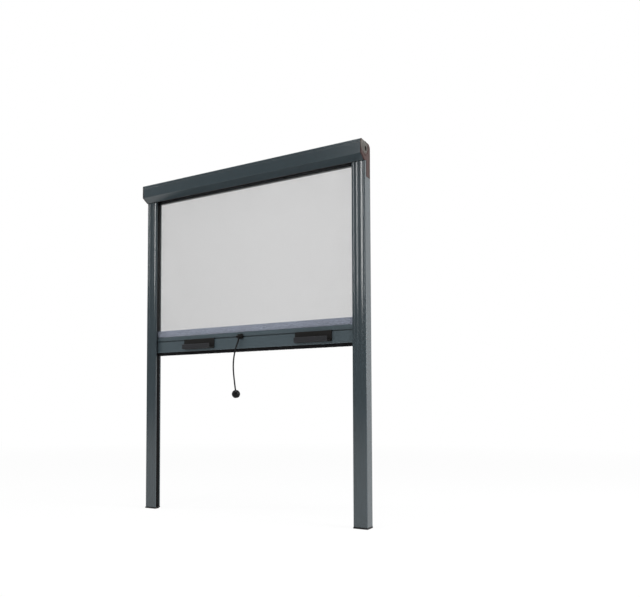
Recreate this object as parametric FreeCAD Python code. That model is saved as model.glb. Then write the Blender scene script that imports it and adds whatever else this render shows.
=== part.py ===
import FreeCAD, Part
import math
import os

V = FreeCAD.Vector

# A roller insect screen for a window, in millimetres.
# X runs to the right as seen from the front, Y to the rear and Z up.
# The origin is under the middle of the frame, at the level of the feet.

# Overall sizes
frame_width = 520.0
frame_height = 710.0
cassette_height = 35.5
cassette_depth = 42.0

# Clearances
slide_gap = 0.7
brush_gap = 0.3
roll_gap = 0.3
insert_gap = 0.15
tongue_gap = 0.3
clip_gap = 0.1
running_gap = 0.06

# Cassette section
cassette_wall = 1.3
slant_height = 8.5
slant_depth = 15.0
front_bevel = 1.6
rear_round = 9.0
band_height = 7.0
band_groove = 0.5
rear_lip = 7.0
seal_reach = 12.9

# End caps of the cassette
cap_thickness = 3.0
cap_overhang = 1.0
cap_relief = 0.6
cap_rib = 1.2
cap_rib_depth = 8.0
cap_round = 1.5
cap_hole_radius = 5.0
hub_radius = 7.4
ring_radius = 13.0
ring_width = 1.3
boss_radius = 6.6
boss_depth = 6.0
tongue_width = 16.5
tongue_length = 29.0

# Guide rails
rail_width = 27.0
rail_depth = 25.0
rail_rear_width = 20.0
rail_wall = 1.4
notch_setback = 5.7
rail_corner = 0.8
reed_widths = (6.0, 6.5, 10.0, 4.5)
reed_depth = 0.35

# Brush seals: a flat base, held by two hooked lips, and a pile on it
base_width = 4.9
base_thickness = 0.9
pile_width = 3.4
lip_thickness = 0.8
lip_hook = 0.7

# Foot caps
foot_thickness = 3.0
foot_proud = 0.5
foot_bevel = 1.0
foot_plug_height = 10.0

# Roller and its spring
roller_drop = 14.0
tube_radius = 8.5
tube_wall = 0.9
roll_build = 1.7
plug_length = 14.0
plug_flange = 1.6
roller_float = 0.4
pin_radius = 3.0
pin_length = 20.0
shaft_radius = 4.0
shaft_length = 148.0
shaft_recess = 2.8
collar_radius = 6.4
collar_width = 3.0
collar_setback = 9.8
screwdriver_slot = 1.2
spring_wire = 1.2
spring_radius = 5.2
spring_turns = 20

# Insect mesh and its hem
mesh_thickness = 0.6
mesh_reach = 13.0
slot_pitch = 4.15
slot_width = 2.6
slot_margin = 2.0
hem_height = 14.0
hem_thickness = 1.6
hem_tail = 1.0
spline_radius = 1.7

# Pull bar, with its height when the screen is half drawn
bar_rest = 340.0
bar_height = 34.0
bar_thickness = 8.6
bar_wall = 1.2
bar_corner = 0.8
bar_reach = 7.0
seal_drop = 7.0
clip_drop = 9.8
clip_mouth = 2.4
clip_lip = 1.1
clip_cavity = 5.0
clip_depth = 1.9
welt_radius = 2.1
welt_mouth = 1.7
welt_drop = 3.2

# End slides of the bar
slide_plug = 12.0
slide_float = 1.5

# Handles, with the distance of their middles from the bar's ends
handle_insets = (119.0, 91.0)
handle_length = 78.0
handle_front = 70.0
handle_height = 20.8
handle_reach = 15.0
handle_wall = 2.3
handle_lip = 9.5
handle_round = 0.9
handle_clip = 60.0

# Hook, cord and ball
hook_place = -17.0
hook_width = 13.0
hook_above = 5.4
hook_below = 4.2
hook_plate = 2.2
horn_radius = 1.9
horn_spread = 5.2
horn_reach = 5.0
eye_radius = 3.0
eye_rise = 3.0
cord_diameter = 3.0
cord_fillet = 0.45
ball_radius = 8.5
cord_sink = 0.3

# The hanging cord's points, from the hook down to the ball
cord_points = [
    V(-17.0, -0.3, 366.5),
    V(-18.0, -2.6, 355.5),
    V(-21.5, -6.5, 341.5),
    V(-25.5, -8.2, 322.0),
    V(-27.0, -8.2, 302.0),
    V(-25.2, -7.6, 278.5),
    V(-22.0, -7.0, 255.2),
]

# Places that follow from the sizes
half_width = frame_width / 2
cap_outer = half_width + cap_overhang
cap_inner = cap_outer - cap_thickness
cassette_front = -cassette_depth / 2
cassette_rear = cassette_depth / 2
cassette_floor = frame_height - cassette_height
inner_front = cassette_front + cassette_wall
inner_rear = cassette_rear - cassette_wall
inner_floor = cassette_floor + cassette_wall
inner_top = frame_height - cassette_wall

rail_rear = cassette_rear
rail_front = rail_rear - rail_depth
rail_mouth = half_width - rail_width
rear_mouth = half_width - rail_rear_width
web_inner = half_width - rail_wall
notch_front = rail_front + notch_setback
notch_rear = notch_front + tongue_width + 2 * tongue_gap
notch_floor = cassette_floor - tongue_length - tongue_gap
holder_width = base_width + 2 * insert_gap + 2 * lip_thickness
holder_height = base_thickness + insert_gap + lip_thickness

mesh_y = (rail_front + rail_rear) / 2
bar_front = mesh_y - bar_thickness / 2
bar_back = mesh_y + bar_thickness / 2
bar_top = bar_rest + bar_height
bar_half = rail_mouth + bar_reach
handle_places = (handle_insets[0] - bar_half, bar_half - handle_insets[1])
clip_z = bar_top - clip_drop
welt_z = bar_top - welt_drop
hem_top = bar_top + hem_height
mesh_half = rail_mouth + mesh_reach

roll_radius = tube_radius + roll_build
roller_y = mesh_y - mesh_thickness / 2 - roll_gap - roll_radius
roller_z = frame_height - roller_drop
boss_end = cap_inner - boss_depth
tube_half = boss_end - roller_float - plug_flange
collar_start = cap_outer - shaft_recess - shaft_length + collar_setback
seal_y = mesh_y - mesh_thickness / 2 - brush_gap


def closed_wire(steps, place):
    """A closed wire; a step is a point, or the middle and end of an arc."""
    edges = []
    first = here = place(*steps[0])
    for step in steps[1:] + [steps[0]]:
        if isinstance(step[0], tuple):
            middle, end = place(*step[0]), place(*step[1])
            edges.append(Part.Arc(here, middle, end).toShape())
        else:
            end = place(*step)
            if end.distanceToPoint(here) > 1e-6:
                edges.append(Part.LineSegment(here, end).toShape())
        here = end
    if here.distanceToPoint(first) > 1e-6:
        edges.append(Part.LineSegment(here, first).toShape())
    return Part.Wire(edges)


def along_x(steps, start, end):
    """A bar of one (y, z) section from start to end in X."""
    wire = closed_wire(steps, lambda y, z: V(start, y, z))
    return Part.Face(wire).extrude(V(end - start, 0, 0))


def along_z(steps, start, end):
    """A bar of one (x, y) section from start to end in Z."""
    wire = closed_wire(steps, lambda x, y: V(x, y, start))
    return Part.Face(wire).extrude(V(0, 0, end - start))


def block(x0, x1, y0, y1, z0, z1):
    return Part.makeBox(x1 - x0, y1 - y0, z1 - z0, V(x0, y0, z0))


def rod(radius, x0, x1, y=roller_y, z=roller_z):
    """A round rod along X, on the roller's axis unless told otherwise."""
    return Part.makeCylinder(radius, x1 - x0, V(x0, y, z), V(1, 0, 0))


def joined(shapes):
    whole = shapes[0]
    for shape in shapes[1:]:
        whole = whole.fuse(shape)
    return whole.removeSplitter()


def mirrored(shape):
    """The same piece for the other side of the frame."""
    return shape.mirror(V(0, 0, 0), V(1, 0, 0))


def quarter(centre, radius, start, turn=90.0):
    """The middle and end of an arc about centre, from the start angle in degrees."""
    points = []
    for part in (0.5, 1.0):
        angle = math.radians(start + turn * part)
        points.append((centre[0] + radius * math.cos(angle), centre[1] + radius * math.sin(angle)))
    return tuple(points)


# Cassette
def cassette_outline():
    """The outer (y, z) outline that the profile and its end caps share."""
    slant_top = cassette_floor + slant_height
    slant_foot = cassette_front + slant_depth
    return [
        (slant_foot, cassette_floor),
        (cassette_front, slant_top),
        (cassette_front, frame_height - front_bevel),
        (cassette_front + front_bevel, frame_height),
        (cassette_rear - rear_round, frame_height),
        quarter((cassette_rear - rear_round, frame_height - rear_round), rear_round, 90, -90),
        (cassette_rear, cassette_floor),
    ]


def cassette_profile():
    """The extruded box: open below, with a slot for the brush at the end of its floor."""
    slant = math.atan2(slant_depth, slant_height)
    shift = cassette_wall * math.tan(slant / 2)
    rise = cassette_wall * math.tan((math.pi / 2 - slant) / 2)
    slant_top = cassette_floor + slant_height
    slant_foot = cassette_front + slant_depth
    inner_round = rear_round - cassette_wall
    round_centre = (cassette_rear - rear_round, frame_height - rear_round)
    floor_end = seal_y - seal_reach
    slot_back = floor_end - cassette_wall - base_thickness - insert_gap - lip_thickness
    slot_top = inner_floor + base_width + 2 * insert_gap
    slot_foot = inner_floor + (slant_foot + rise - slot_back) / math.tan(slant)
    hook_low = inner_floor + lip_hook
    hook_high = slot_top - lip_hook
    hook_back = floor_end - lip_thickness
    steps = [
        (slant_foot, cassette_floor),
        (cassette_front, slant_top),
        (cassette_front, frame_height - band_height - band_groove),
        (cassette_front + band_groove, frame_height - band_height),
        (cassette_front, frame_height - band_height + band_groove),
        (cassette_front, frame_height - front_bevel),
        (cassette_front + front_bevel, frame_height),
        (cassette_rear - rear_round, frame_height),
        quarter(round_centre, rear_round, 90, -90),
        (cassette_rear, cassette_floor),
        (cassette_rear - rear_lip, cassette_floor),
        (cassette_rear - rear_lip, inner_floor),
        (inner_rear, inner_floor),
        (inner_rear, frame_height - rear_round),
        quarter(round_centre, inner_round, 0, 90),
        (inner_front, inner_top),
        (inner_front, slant_top + shift),
        (slot_back, slot_foot),
        (slot_back, slot_top + cassette_wall),
        (floor_end, slot_top + cassette_wall),
        (floor_end, hook_high),
        (hook_back, hook_high),
        (hook_back, slot_top),
        (slot_back + cassette_wall, slot_top),
        (slot_back + cassette_wall, inner_floor),
        (hook_back, inner_floor),
        (hook_back, hook_low),
        (floor_end, hook_low),
        (floor_end, cassette_floor),
    ]
    return along_x(steps, -cap_inner, cap_inner)


def cassette_brush():
    """The brush along the mesh outlet: it lies flat and points to the rear."""
    floor_end = seal_y - seal_reach
    base_front = floor_end - lip_thickness - base_thickness
    low = inner_floor + insert_gap
    middle = low + base_width / 2
    base_rear = floor_end - lip_thickness
    base = block(-cap_inner, cap_inner, base_front, base_rear, low, low + base_width)
    pile_low, pile_high = middle - pile_width / 2, middle + pile_width / 2
    pile = block(-cap_inner, cap_inner, base_rear, seal_y, pile_low, pile_high)
    return joined([base, pile])


def end_cap(bore):
    """The right moulded end cap: a round-edged plate, ring, hub, ribs, bearing boss and tongue."""
    face = cap_outer - cap_relief
    plate = along_x(cassette_outline(), cap_inner, face)
    outside = max(plate.Faces, key=lambda side: side.CenterOfMass.x)
    plate = plate.makeFillet(cap_round, outside.Edges)
    ring = rod(ring_radius, face, cap_outer).cut(rod(ring_radius - ring_width, face, cap_outer))
    hub = rod(hub_radius, face, cap_outer)
    boss = rod(boss_radius, boss_end, cap_inner)
    rear_rib = block(
        cap_inner - cap_rib_depth,
        cap_inner,
        inner_rear - insert_gap - cap_rib,
        inner_rear - insert_gap,
        inner_floor + insert_gap,
        frame_height - rear_round,
    )
    top_rib = block(
        cap_inner - cap_rib_depth,
        cap_inner,
        inner_front + front_bevel,
        cassette_rear - rear_round,
        inner_top - insert_gap - cap_rib,
        inner_top - insert_gap,
    )
    tongue = block(
        web_inner,
        face,
        notch_front + tongue_gap,
        notch_rear - tongue_gap,
        cassette_floor - tongue_length,
        cassette_floor + cap_hole_radius,
    )
    whole = joined([plate, ring, hub, boss, rear_rib, top_rib, tongue])
    whole = whole.cut(rod(cap_hole_radius, cap_outer - shaft_recess, cap_outer))
    return whole.cut(rod(bore, boss_end, cap_outer - shaft_recess))


# Roller
def idler_pin():
    """The fixed pin in the left cap, on which the roller's left end turns."""
    end = cap_outer - shaft_recess
    return rod(pin_radius, -end, pin_length - end)


def spring_shaft():
    """The fixed shaft in the right cap, with the spring's collar and a slotted end."""
    end = cap_outer - shaft_recess
    shaft = rod(shaft_radius, end - shaft_length, end)
    collar = rod(collar_radius, collar_start, collar_start + collar_width)
    slot = block(
        end - screwdriver_slot,
        end,
        roller_y - shaft_radius,
        roller_y + shaft_radius,
        roller_z - screwdriver_slot / 2,
        roller_z + screwdriver_slot / 2,
    )
    return joined([shaft, collar]).cut(slot)


def torsion_spring():
    """The coil that winds the mesh up, between the collar and the right plug."""
    start = collar_start + collar_width + roll_gap + spring_wire / 2
    end = tube_half - plug_length - roll_gap - spring_wire / 2
    pitch = (end - start) / spring_turns
    helix = Part.makeHelix(pitch, end - start, spring_radius)
    ring = Part.Circle(V(spring_radius, 0, 0), V(0, 1, 0), spring_wire / 2).toShape()
    coil = Part.Wire(helix).makePipeShell([Part.Wire([ring])], True, True)
    coil.rotate(V(0, 0, 0), V(0, 1, 0), 90)
    coil.translate(V(start, roller_y, roller_z))
    return coil


def roller_plug(bore):
    """The right bush that closes the tube and turns on the fixed shaft."""
    body = rod(tube_radius - tube_wall - clip_gap, tube_half - plug_length, tube_half)
    flange = rod(tube_radius, tube_half, tube_half + plug_flange)
    whole = joined([body, flange])
    return whole.cut(rod(bore + running_gap, tube_half - plug_length, tube_half + plug_flange))


def hollow_rod(outer, inner, half_length):
    return rod(outer, -half_length, half_length).cut(rod(inner, -half_length, half_length))


# Guide rails, drawn for the right side
def brush_holder(x0, y0, side):
    """The (x, y) steps of a slot for a brush base, from the mouth inwards; side is the way out."""
    floor = y0
    shelf = y0 + side * (base_thickness + insert_gap)
    crown = y0 + side * holder_height
    inner = x0 + lip_thickness
    outer = x0 + holder_width - lip_thickness
    return [
        (x0, crown),
        (inner + lip_hook, crown),
        (inner + lip_hook, shelf),
        (inner, shelf),
        (inner, floor),
        (outer, floor),
        (outer, shelf),
        (outer - lip_hook, shelf),
        (outer - lip_hook, crown),
        (x0 + holder_width, crown),
        (x0 + holder_width, floor),
    ]


def rail_face():
    """The steps of the front face: shallow rounded reeds, from the mouth to the outside."""
    share = (rail_width - rail_corner) / sum(reed_widths)
    steps = [(rail_mouth, rail_front + reed_depth)]
    x = rail_mouth
    for width in reed_widths:
        end = x + width * share
        steps.append((((x + end) / 2, rail_front), (end, rail_front + reed_depth)))
        x = end
    return steps


def guide_rail():
    """A channel with its mouth inwards and brush slots, notched outside for the tongue."""
    front_inner = rail_front + rail_wall
    rear_inner = rail_rear - rail_wall
    steps = rail_face()
    corner = rail_front + reed_depth + rail_corner
    steps.append((half_width, corner))
    steps += [(half_width, rail_rear), (rear_mouth, rail_rear)]
    steps += brush_holder(rear_mouth, rear_inner, -1)
    steps += [(web_inner, rear_inner), (web_inner, front_inner)]
    steps += reversed(brush_holder(rail_mouth, front_inner, 1))
    rail = along_z(steps, foot_thickness, cassette_floor)
    return rail.cut(block(web_inner, half_width, notch_front, notch_rear, notch_floor, cassette_floor))


def rail_brush(x0, y0, side, tip):
    """A brush strip in its slot: the base near the flange and the pile up to the tip."""
    left = x0 + lip_thickness + insert_gap
    shelf = y0 + side * base_thickness
    middle = left + base_width / 2
    ends = (foot_thickness, cassette_floor)
    base = block(left, left + base_width, min(y0, shelf), max(y0, shelf), *ends)
    left, right = middle - pile_width / 2, middle + pile_width / 2
    pile = block(left, right, min(shelf, tip), max(shelf, tip), *ends)
    return joined([base, pile])


def foot_cap():
    """The cap under a rail: a plate a little proud of it, and a plug in the channel."""
    low_x, high_x = rail_mouth - foot_proud, half_width + foot_proud
    low_y, high_y = rail_front - foot_proud, rail_rear
    rear_x = rear_mouth - foot_proud
    steps = [
        (low_x, low_y),
        (high_x, low_y),
        (high_x, high_y),
        (rear_x, high_y),
        (rear_x, high_y - rail_wall - holder_height),
        (low_x, mesh_y),
    ]
    plate = along_z(steps, 0, foot_thickness)
    bevel = Part.makePolygon(
        [
            V(low_x, low_y, 0),
            V(low_x, low_y + foot_bevel, 0),
            V(low_x, low_y, foot_bevel),
            V(low_x, low_y, 0),
        ]
    )
    plate = plate.cut(Part.Face(bevel).extrude(V(high_x - low_x, 0, 0)))
    plug = block(
        rear_mouth + holder_width + 2 * slide_gap,
        web_inner - slide_gap,
        rail_front + rail_wall + slide_gap,
        rail_rear - rail_wall - slide_gap,
        foot_thickness,
        foot_thickness + foot_plug_height,
    )
    return joined([plate, plug])


# Pull bar
def pull_bar():
    """The extruded bar: a clip slot in front, a welt slot on top and a brush slot below."""
    front, back, r = bar_front, bar_back, bar_corner
    outline = [
        (front + r, bar_rest),
        quarter((front + r, bar_rest + r), r, -90, -90),
        (front, bar_top - r),
        quarter((front + r, bar_top - r), r, 180, -90),
        (back - r, bar_top),
        quarter((back - r, bar_top - r), r, 90, -90),
        (back, bar_rest + r),
        quarter((back - r, bar_rest + r), r, 0, -90),
    ]
    bar = along_x(outline, -bar_half, bar_half)
    ends = (-bar_half, bar_half)
    cavity_front = front + clip_lip
    brush_top = bar_rest + lip_thickness + base_thickness + insert_gap
    brush_half = base_width / 2 + insert_gap
    cuts = [
        block(*ends, front, cavity_front, clip_z - clip_mouth / 2, clip_z + clip_mouth / 2),
        block(
            *ends,
            cavity_front,
            cavity_front + clip_depth,
            clip_z - clip_cavity / 2,
            clip_z + clip_cavity / 2,
        ),
        rod(welt_radius, *ends, mesh_y, welt_z),
        block(*ends, mesh_y - welt_mouth / 2, mesh_y + welt_mouth / 2, welt_z, bar_top),
        block(*ends, mesh_y - brush_half, mesh_y + brush_half, bar_rest + lip_thickness, brush_top),
        block(
            *ends,
            mesh_y - brush_half + lip_hook,
            mesh_y + brush_half - lip_hook,
            bar_rest,
            bar_rest + lip_thickness,
        ),
        block(*ends, *bar_hollow()),
    ]
    for cut in cuts:
        bar = bar.cut(cut)
    return bar


def bar_hollow():
    """The y and z limits of the bar's closed chamber, between its two lower slots."""
    low = bar_rest + lip_thickness + base_thickness + insert_gap + bar_wall
    high = clip_z - clip_cavity / 2 - bar_wall
    return bar_front + bar_wall, bar_back - bar_wall, low, high


def bar_brush():
    """The brush under the bar, which seals on the sill."""
    base_low = bar_rest + lip_thickness
    base_half = base_width / 2
    base_high = base_low + base_thickness
    base = block(-bar_half, bar_half, mesh_y - base_half, mesh_y + base_half, base_low, base_high)
    low = bar_rest - seal_drop
    pile_half = pile_width / 2
    pile = block(-bar_half, bar_half, mesh_y - pile_half, mesh_y + pile_half, low, base_low)
    return joined([base, pile])


def bar_slide():
    """The right end piece: a plug in the bar's chamber, a neck and a shoe that runs in the rail."""
    front, back, low, high = bar_hollow()
    shoe_start = rear_mouth + holder_width + slide_gap
    shoe_end = web_inner - slide_float
    plug = block(
        bar_half - slide_plug,
        bar_half,
        front + insert_gap,
        back - insert_gap,
        low + insert_gap,
        high - insert_gap,
    )
    neck = block(bar_half, shoe_start, bar_front, bar_back, bar_rest, bar_top)
    shoe = block(
        shoe_start,
        shoe_end,
        rail_front + rail_wall + slide_gap,
        rail_rear - rail_wall - slide_gap,
        bar_rest,
        bar_top,
    )
    return joined([plug, neck, shoe])


# Mesh, with its hem and the rod that holds it in the bar
def insect_mesh():
    """The span of mesh from the hem to the roll, with its gaps as upright slots."""
    ends = (hem_top, roller_z)
    count = int((2 * mesh_half - 2 * slot_margin) / slot_pitch)
    first = -(count - 1) * slot_pitch / 2
    face_y = mesh_y - mesh_thickness / 2

    def loop(x0, x1, z0, z1):
        corners = [V(x0, face_y, z0), V(x1, face_y, z0), V(x1, face_y, z1), V(x0, face_y, z1)]
        return Part.makePolygon(corners + corners[:1])

    outer = loop(-mesh_half, mesh_half, *ends)
    low, high = ends[0] + slot_margin, ends[1] - slot_margin
    slots = []
    for i in range(count):
        x = first + i * slot_pitch
        slots.append(loop(x - slot_width / 2, x + slot_width / 2, low, high))
    sheet = Part.makeFace([outer] + slots, "Part::FaceMakerBullseye")
    return sheet.extrude(V(0, mesh_thickness, 0))


def mesh_hem():
    """The doubled edge of the mesh on top of the bar, with a tail in the welt slot."""
    half = hem_thickness / 2
    tail = hem_tail / 2
    body = block(-bar_half, bar_half, mesh_y - half, mesh_y + half, bar_top, hem_top)
    tail_low = welt_z + spline_radius + clip_gap
    strip = block(-bar_half, bar_half, mesh_y - tail, mesh_y + tail, tail_low, bar_top)
    return joined([body, strip])


def hem_spline():
    """The round rod that locks the hem in the bar."""
    return rod(spline_radius, -bar_half, bar_half, mesh_y, welt_z)


# Handles and hook
def clip_rib(x0, x1):
    """The T-shaped rib that holds a moulding in the bar's clip slot."""
    neck_half = clip_mouth / 2 - clip_gap
    head_half = clip_cavity / 2 - 2 * clip_gap
    head_front = bar_front + clip_lip + clip_gap
    neck = block(x0, x1, bar_front, head_front, clip_z - neck_half, clip_z + neck_half)
    head_back = bar_front + clip_lip + clip_depth - clip_gap
    head = block(x0, x1, head_front, head_back, clip_z - head_half, clip_z + head_half)
    return joined([neck, head])


def handle(centre):
    """A moulded grip: a back plate on the bar and a trough for the fingertips."""
    back, wall, r = bar_front, handle_wall, handle_round
    top = clip_z + clip_mouth / 2
    low = top - handle_height
    front = back - handle_reach
    lip_top = low + handle_lip
    half_wall = wall / 2
    steps = [
        (back, top),
        (back, low),
        (front + r, low),
        quarter((front + r, low + r), r, -90, -90),
        (front, lip_top - half_wall),
        quarter((front + half_wall, lip_top - half_wall), half_wall, 180, -180),
        (front + wall, low + wall + r),
        quarter((front + wall + r, low + wall + r), r, 180, 90),
        (back - wall - r, low + wall),
        quarter((back - wall - r, low + wall + r), r, -90, 90),
        (back - wall, top - r),
        quarter((back - wall + r, top - r), r, 180, -90),
    ]
    half = handle_length / 2
    grip = along_x(steps, centre - half, centre + half)
    taper = (handle_length - handle_front) / 2
    for side in (-1, 1):
        end = centre + side * half
        corners = [V(end, back - wall, low), V(end, front, low), V(end - side * taper, front, low)]
        wedge = Part.Face(Part.makePolygon(corners + corners[:1]))
        grip = grip.cut(wedge.extrude(V(0, 0, handle_height)))
    return joined([grip, clip_rib(centre - handle_clip / 2, centre + handle_clip / 2)])


def cord_hook():
    """The clip that holds the cord: a plate with two horns and an eye between them."""
    half = hook_width / 2
    face = bar_front - hook_plate
    low, high = clip_z - hook_below, clip_z + hook_above
    plate = block(hook_place - half, hook_place + half, face, bar_front, low, high)
    pieces = [plate, clip_rib(hook_place - half, hook_place + half)]
    for side in (-1, 1):
        foot = V(hook_place + side * horn_spread, face - horn_reach, clip_z)
        pieces.append(Part.makeCylinder(horn_radius, horn_reach, foot, V(0, 1, 0)))
    eye_foot = V(hook_place, face - horn_reach, clip_z + eye_rise - hook_plate / 2)
    pieces.append(Part.makeCylinder(eye_radius, horn_reach, eye_foot, V(0, 1, 0)))
    return joined(pieces)


# Cord
def cord_path(points):
    """Straight runs joined by tangent arcs, each as large as its two runs allow."""
    edges = []
    here = points[0]
    for before, corner, after in zip(points, points[1:], points[2:]):
        run_in, run_out = corner - before, after - corner
        turn = run_in.getAngle(run_out)
        cut = cord_fillet * min(run_in.Length, run_out.Length)
        radius = cut / math.tan(turn / 2)
        start = corner - run_in.normalize() * cut
        end = corner + run_out.normalize() * cut
        centre_way = (start + end) * 0.5 - corner
        centre = corner + centre_way.normalize() * (radius / math.cos(turn / 2))
        middle = centre + (corner - centre).normalize() * radius
        edges.append(Part.LineSegment(here, start).toShape())
        edges.append(Part.Arc(start, middle, end).toShape())
        here = end
        print(f"cord arc radius {radius:.1f} mm, turn {math.degrees(turn):.1f} degrees")
    edges.append(Part.LineSegment(here, points[-1]).toShape())
    return Part.Wire(edges)


def pull_cord():
    """The round cord, swept along its hanging path."""
    path = cord_path(cord_points)
    way = cord_points[1] - cord_points[0]
    ring = Part.Circle(cord_points[0], way, cord_diameter / 2).toShape()
    tube = path.makePipeShell([Part.Wire([ring])], True, False)
    wanted = path.Length * math.pi * cord_diameter**2 / 4
    print(f"cord length {path.Length:.1f} mm")
    print(f"cord volume {tube.Volume:.1f} mm3, section times length {wanted:.1f}")
    return tube


def cord_ball():
    """The ball on the cord's lower end, in line with its last run."""
    way = (cord_points[-1] - cord_points[-2]).normalize()
    return Part.makeSphere(ball_radius, cord_points[-1] + way * (ball_radius - cord_sink))


nodes = {}
nodes["cassette_profile"] = cassette_profile()
nodes["cassette_brush"] = cassette_brush()
nodes["right_end_cap"] = end_cap(shaft_radius + insert_gap / 2)
nodes["left_end_cap"] = mirrored(end_cap(pin_radius + insert_gap / 2))
nodes["idler_pin"] = idler_pin()
nodes["spring_shaft"] = spring_shaft()
nodes["torsion_spring"] = torsion_spring()
nodes["roller_tube"] = hollow_rod(tube_radius, tube_radius - tube_wall, tube_half)
nodes["roller_right_plug"] = roller_plug(shaft_radius)
nodes["roller_left_plug"] = mirrored(roller_plug(pin_radius))
nodes["mesh_roll"] = hollow_rod(roll_radius, tube_radius + running_gap, mesh_half)

rail_pieces = {
    "guide_rail": guide_rail(),
    "front_brush": rail_brush(rail_mouth, rail_front + rail_wall, 1, bar_front - brush_gap),
    "rear_brush": rail_brush(rear_mouth, rail_rear - rail_wall, -1, bar_back + brush_gap),
    "foot_cap": foot_cap(),
    "bar_slide": bar_slide(),
}
for name, shape in rail_pieces.items():
    nodes["right_" + name] = shape
    nodes["left_" + name] = mirrored(shape)

nodes["insect_mesh"] = insect_mesh()
nodes["mesh_hem"] = mesh_hem()
nodes["hem_spline"] = hem_spline()
nodes["pull_bar"] = pull_bar()
nodes["bar_brush"] = bar_brush()
for side, place in zip(("left", "right"), handle_places):
    nodes[side + "_handle"] = handle(place)
nodes["cord_hook"] = cord_hook()
nodes["pull_cord"] = pull_cord()
nodes["cord_ball"] = cord_ball()

os.makedirs("parts", exist_ok=True)
for name, shape in nodes.items():
    if not shape.isValid():
        print(f"{name} is not a valid shape")
    shape.exportStep(f"parts/{name}.step")
    print(f"{name}: {len(shape.Solids)} solid, {shape.Volume / 1000:.2f} cm3")
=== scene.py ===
import math

import bmesh
import bpy
from mathutils import Matrix, Vector


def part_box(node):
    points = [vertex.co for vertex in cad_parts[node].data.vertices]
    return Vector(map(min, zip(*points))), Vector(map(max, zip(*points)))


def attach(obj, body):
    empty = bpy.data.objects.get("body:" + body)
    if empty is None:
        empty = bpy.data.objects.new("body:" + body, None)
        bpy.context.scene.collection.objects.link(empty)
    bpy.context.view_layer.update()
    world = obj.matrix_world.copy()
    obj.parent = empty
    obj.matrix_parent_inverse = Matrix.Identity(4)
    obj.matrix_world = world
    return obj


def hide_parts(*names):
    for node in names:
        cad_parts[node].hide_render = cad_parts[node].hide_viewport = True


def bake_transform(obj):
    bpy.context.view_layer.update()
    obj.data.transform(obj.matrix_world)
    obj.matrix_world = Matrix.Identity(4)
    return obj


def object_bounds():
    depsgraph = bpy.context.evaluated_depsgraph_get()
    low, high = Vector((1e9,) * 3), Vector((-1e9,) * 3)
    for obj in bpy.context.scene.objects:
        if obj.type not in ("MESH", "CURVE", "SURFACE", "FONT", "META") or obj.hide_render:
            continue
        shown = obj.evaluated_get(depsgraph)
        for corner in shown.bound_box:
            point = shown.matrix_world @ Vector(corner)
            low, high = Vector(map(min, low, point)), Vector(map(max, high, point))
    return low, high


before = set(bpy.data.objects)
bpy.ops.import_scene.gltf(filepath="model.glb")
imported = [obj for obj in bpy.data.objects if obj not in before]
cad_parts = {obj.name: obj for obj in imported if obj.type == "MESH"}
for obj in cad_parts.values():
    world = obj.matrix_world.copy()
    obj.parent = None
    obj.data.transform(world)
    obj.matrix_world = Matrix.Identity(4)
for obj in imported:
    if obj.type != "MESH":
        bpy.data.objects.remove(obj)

cad_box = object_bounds()
scene = bpy.context.scene
MM = 0.001

# Studio. The screen stands on a pale floor in front of a white background, in the soft light
# of two softboxes, above it and on its right, and of two strips, in front and on its left.
# The camera stands low, in front of its right end, and looks a little upwards.
photo_width = 640
photo_height = 597
focal_pixels = 675.7
middle_pixels = Vector((260.0, 379.17))
camera_place = Vector((0.7319, -1.1481, 0.2175))
camera_turn = math.radians(31.37)
camera_pitch = math.radians(2.5)
sensor_width = 36.0
white = (1, 1, 1, 1)
floor_size = 12.0
floor_colour = (0.9, 0.9, 0.9, 1)
floor_fade = (0.7, 3.0)  # metres from the screen, between which the floor's glow rises
floor_glow = (0.92, 1.0)  # from this level to this
paper_edge = (-0.1, 0.3)  # how far to the rear the white paper begins, where it is mirrored
ambient_light = 0.27
mirror_light = 0.2


def add(tree, kind, inputs=None, **settings):
    """A node; each of its inputs is given a value, or the output that feeds it."""
    made = tree.nodes.new(kind)
    for name, value in settings.items():
        setattr(made, name, value)
    for key, value in (inputs or {}).items():
        if isinstance(value, bpy.types.NodeSocket):
            tree.links.new(value, made.inputs[key])
        else:
            made.inputs[key].default_value = value
    return made


def maths(tree, operation, *values):
    """The output of a math node on these values."""
    return add(tree, "ShaderNodeMath", dict(enumerate(values)), operation=operation).outputs[0]


def ramp(tree, value, start, end, low=0.0, high=1.0):
    """Goes from low to high while the value goes from start to end."""
    return add(tree, "ShaderNodeMapRange", {0: value, 1: start, 2: end, 3: low, 4: high}).outputs[0]


def empty_material(name):
    """A material with nothing in its tree, and that tree."""
    material = bpy.data.materials.new(name)
    material.use_nodes = True
    material.node_tree.nodes.clear()
    return material, material.node_tree


def shown_object(name, data):
    """A new object in the scene, with this mesh, camera or lamp."""
    made = bpy.data.objects.new(name, data)
    scene.collection.objects.link(made)
    return made


def aimed(place, target):
    """The turn of a lamp or camera at place that looks at target."""
    return (Vector(target) - Vector(place)).to_track_quat("-Z", "Y").to_euler()


camera = bpy.data.cameras.new("camera")
camera.sensor_width = sensor_width
camera.lens = focal_pixels / photo_width * sensor_width
camera.shift_x = (photo_width / 2 - middle_pixels.x) / photo_width
camera.shift_y = (middle_pixels.y - photo_height / 2) / photo_width
camera_object = shown_object("camera", camera)
camera_object.location = camera_place
ahead = Vector((-math.sin(camera_turn), math.cos(camera_turn), math.tan(camera_pitch)))
camera_object.rotation_euler = aimed(camera_place, camera_place + ahead)
scene.camera = camera_object
scene.view_settings.view_transform = "Standard"

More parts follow.
